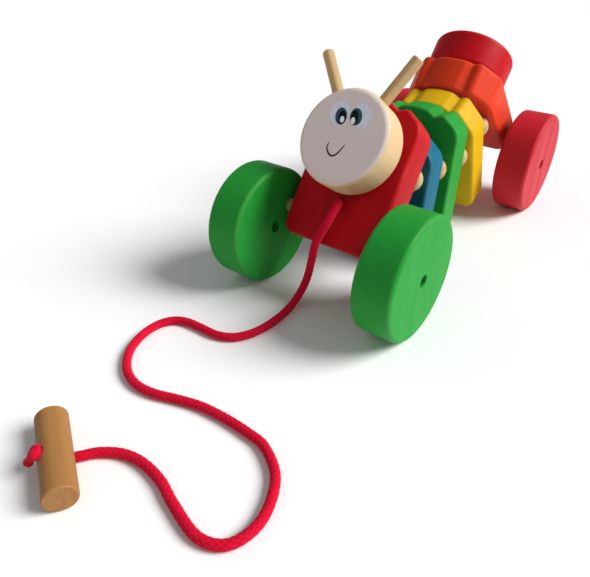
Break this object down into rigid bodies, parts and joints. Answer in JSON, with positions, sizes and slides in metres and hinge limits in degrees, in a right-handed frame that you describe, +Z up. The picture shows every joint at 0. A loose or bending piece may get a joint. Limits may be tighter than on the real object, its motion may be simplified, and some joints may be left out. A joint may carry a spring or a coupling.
{
  "type": "pull-along inchworm",
  "caption": "Wooden pull-along inchworm: painted blocks strung on elastic with beads between, humping on off-centre wheels, with a cord and handle.",
  "frame": {"origin": "on the floor, midway between the front and the rear wheels and in the middle of the toy's width", "axes": "+X to the toy's own left along the axles, +Y from the head to the tail, +Z up"},
  "size_m": [0.1096, 0.3452, 0.1112],
  "materials": {
    "natural_wood": "bare sanded wood",
    "head_wood": "pale wood with a thin white wash on the face",
    "handle_wood": "bare brown wood",
    "red_paint": "red satin paint",
    "blue_paint": "blue satin paint",
    "green_paint": "green satin paint",
    "yellow_paint": "yellow satin paint",
    "orange_paint": "orange satin paint",
    "cord_red": "braided cotton, red",
    "elastic_white": "woven elastic, off-white"
  },
  "bodies": {
    "front_body": {"front_block": "red_paint", "head_disc": "head_wood", "antenna_left": "natural_wood", "antenna_right": "natural_wood", "elastic_string_left": "elastic_white", "elastic_string_right": "elastic_white", "pull_cord": "cord_red", "pull_cord_inner_knot": "cord_red", "pull_cord_handle_knot": "cord_red", "pull_handle": "handle_wood"},
    "front_wheelset": {"front_axle": "natural_wood", "front_wheel_left": "green_paint", "front_wheel_right": "green_paint"},
    "blue_body": {"blue_plate": "blue_paint"},
    "green_body": {"green_plate": "green_paint"},
    "yellow_body": {"yellow_plate": "yellow_paint"},
    "rear_body": {"rear_block": "orange_paint", "tail_disc": "red_paint"},
    "rear_wheelset": {"rear_axle": "natural_wood", "rear_wheel_left": "red_paint", "rear_wheel_right": "red_paint"},
    "bead_1_left_body": {"bead_1_left": "natural_wood"},
    "bead_1_right_body": {"bead_1_right": "natural_wood"},
    "bead_2_left_body": {"bead_2_left": "natural_wood"},
    "bead_2_right_body": {"bead_2_right": "natural_wood"},
    "bead_3_left_body": {"bead_3_left": "natural_wood"},
    "bead_3_right_body": {"bead_3_right": "natural_wood"},
    "bead_4_left_body": {"bead_4_left": "natural_wood"},
    "bead_4_right_body": {"bead_4_right": "natural_wood"}
  },
  "joints": [
    {"name": "front_wheels_roll", "type": "hinge", "parent": "front_body", "child": "front_wheelset", "pos_m": [0, -0.06699, 0.0374], "axis": [1, 0, 0], "continuous": true},
    {"name": "front_flex", "type": "hinge", "parent": "front_body", "child": "blue_body", "pos_m": [0, -0.03599, 0.05369], "axis": [-1, 0, 0], "range_deg": [-8, 38], "stiffness_Nm_per_rad": 1, "deforming": ["elastic_string_left", "elastic_string_right"]},
    {"name": "blue_green_flex", "type": "hinge", "parent": "blue_body", "child": "green_body", "pos_m": [0, -0.00853, 0.04935], "axis": [-1, 0, 0], "range_deg": [-24, 18], "stiffness_Nm_per_rad": 1, "deforming": ["elastic_string_left", "elastic_string_right"]},
    {"name": "green_yellow_flex", "type": "hinge", "parent": "green_body", "child": "yellow_body", "pos_m": [0, 0.0192, 0.04736], "axis": [-1, 0, 0], "range_deg": [-2, 36], "stiffness_Nm_per_rad": 1, "deforming": ["elastic_string_left", "elastic_string_right"]},
    {"name": "rear_flex", "type": "hinge", "parent": "yellow_body", "child": "rear_body", "pos_m": [0, 0.04525, 0.05705], "axis": [-1, 0, 0], "range_deg": [0, 38], "stiffness_Nm_per_rad": 1, "deforming": ["elastic_string_left", "elastic_string_right"]},
    {"name": "rear_wheels_roll", "type": "hinge", "parent": "rear_body", "child": "rear_wheelset", "pos_m": [0, 0.08229, 0.04422], "axis": [1, 0, 0], "continuous": true},
    {"name": "bead_1_left_spin", "type": "hinge", "parent": "front_body", "child": "bead_1_left_body", "pos_m": [0.0192, -0.03599, 0.05369], "axis": [0, 0.9239, -0.3827], "continuous": true},
    {"name": "bead_1_right_spin", "type": "hinge", "parent": "front_body", "child": "bead_1_right_body", "pos_m": [-0.0192, -0.03599, 0.05369], "axis": [0, 0.9239, -0.3827], "continuous": true},
    {"name": "bead_2_left_spin", "type": "hinge", "parent": "blue_body", "child": "bead_2_left_body", "pos_m": [0.0192, -0.00853, 0.04935], "axis": [0, 0.9935, -0.1141], "continuous": true},
    {"name": "bead_2_right_spin", "type": "hinge", "parent": "blue_body", "child": "bead_2_right_body", "pos_m": [-0.0192, -0.00853, 0.04935], "axis": [0, 0.9935, -0.1141], "continuous": true},
    {"name": "bead_3_left_spin", "type": "hinge", "parent": "green_body", "child": "bead_3_left_body", "pos_m": [0.0192, 0.0192, 0.04736], "axis": [0, 0.9899, 0.1418], "continuous": true},
    {"name": "bead_3_right_spin", "type": "hinge", "parent": "green_body", "child": "bead_3_right_body", "pos_m": [-0.0192, 0.0192, 0.04736], "axis": [0, 0.9899, 0.1418], "continuous": true},
    {"name": "bead_4_left_spin", "type": "hinge", "parent": "yellow_body", "child": "bead_4_left_body", "pos_m": [0.0192, 0.04525, 0.05705], "axis": [0, 0.829, 0.5592], "continuous": true},
    {"name": "bead_4_right_spin", "type": "hinge", "parent": "yellow_body", "child": "bead_4_right_body", "pos_m": [-0.0192, 0.04525, 0.05705], "axis": [0, 0.829, 0.5592], "continuous": true}
  ]
}
